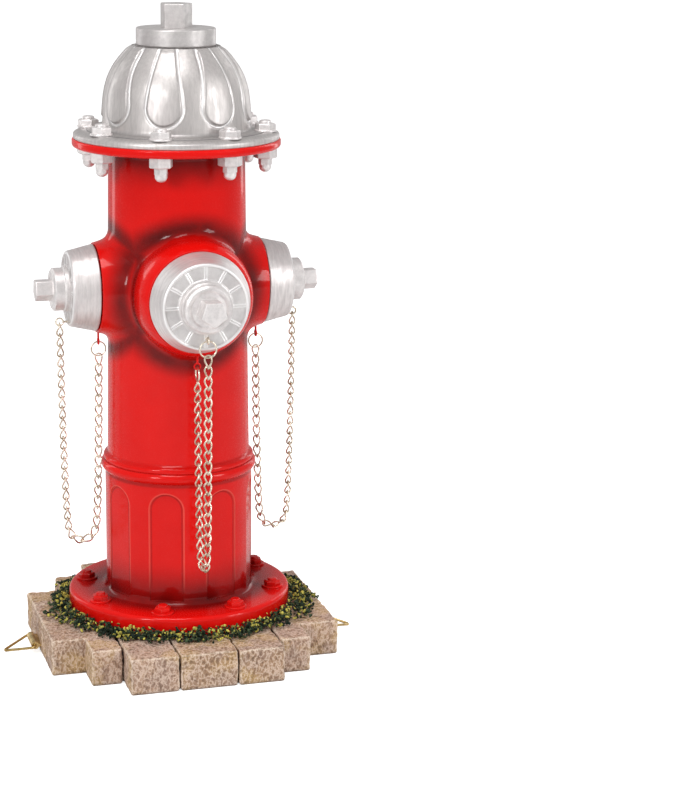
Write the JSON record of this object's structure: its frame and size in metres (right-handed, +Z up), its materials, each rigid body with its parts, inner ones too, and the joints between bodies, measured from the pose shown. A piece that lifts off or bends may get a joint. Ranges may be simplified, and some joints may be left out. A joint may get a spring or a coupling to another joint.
{
  "type": "garden fire hydrant ornament",
  "caption": "Cast garden ornament shaped as a fire hydrant on a paved base, with three capped nozzles, hanging cap chains and folding loops for ground stakes.",
  "frame": {"origin": "on the ground plane, under the axis of the hydrant's barrel", "axes": "+Z up along the barrel, -Y towards the large front nozzle, +X towards the right nozzle as seen from the front"},
  "size_m": [0.2053, 0.175, 0.368],
  "materials": {
    "red_paint": "glossy red enamel over cast resin, dark brown shading in the corners",
    "silver_paint": "satin silver paint over cast resin, brushed highlights",
    "paver_stone": "pitted cast stone, pinkish grey and tan with dry-brushed edges",
    "moss": "painted moss tufts, dark green with yellow-green tips",
    "chain_metal": "plated steel wire, warm silver",
    "brass": "plain brass-coloured wire and strap"
  },
  "bodies": {
    "hydrant": {"stone_base": "paver_stone", "moss_ring": "moss", "lower_barrel": "red_paint", "base_washers": "red_paint", "base_bolts": "red_paint", "upper_barrel": "red_paint", "bonnet": "silver_paint", "bonnet_collar": "silver_paint", "operating_nut": "silver_paint", "bonnet_washers": "silver_paint", "bonnet_bolts": "silver_paint", "bonnet_nuts": "silver_paint", "acorn_nuts": "silver_paint", "left_cap": "silver_paint", "right_cap": "silver_paint", "front_cap": "silver_paint", "left_cap_nut": "silver_paint", "right_cap_nut": "silver_paint", "front_cap_nut": "silver_paint", "left_cap_eye": "silver_paint", "right_cap_eye": "silver_paint", "front_cap_eye": "silver_paint", "left_body_eye": "red_paint", "right_body_eye": "red_paint", "front_body_eye": "red_paint", "left_loop_sleeve": "brass", "right_loop_sleeve": "brass"},
    "left_chain": {"left_chain": "chain_metal", "left_body_ring": "chain_metal"},
    "right_chain": {"right_chain": "chain_metal", "right_body_ring": "chain_metal"},
    "front_chain": {"front_chain": "chain_metal", "front_body_ring": "chain_metal", "front_cap_ring": "chain_metal"},
    "left_stake_loop": {"left_stake_loop": "brass"},
    "right_stake_loop": {"right_stake_loop": "brass"}
  },
  "joints": [
    {"name": "left_chain_swing", "type": "hinge", "parent": "hydrant", "child": "left_chain", "pos_m": [-0.046, 0, 0.17925], "axis": [-0.9041, 0, 0.4273], "range_deg": [-60, 60]},
    {"name": "right_chain_swing", "type": "hinge", "parent": "hydrant", "child": "right_chain", "pos_m": [0.046, 0, 0.17925], "axis": [0.9041, 0, 0.4273], "range_deg": [-60, 60]},
    {"name": "front_chain_swing", "type": "hinge", "parent": "hydrant", "child": "front_chain", "pos_m": [0, -0.0485, 0.17285], "axis": [0, -0.8061, 0.5918], "range_deg": [-35, 35]},
    {"name": "left_loop_hinge", "type": "hinge", "parent": "hydrant", "child": "left_stake_loop", "pos_m": [-0.0875, -0.004, 0.0055], "axis": [0, 1, 0], "range_deg": [0, 104]},
    {"name": "right_loop_hinge", "type": "hinge", "parent": "hydrant", "child": "right_stake_loop", "pos_m": [0.084, -0.013, 0.0055], "axis": [0, -1, 0], "range_deg": [0, 104]}
  ]
}
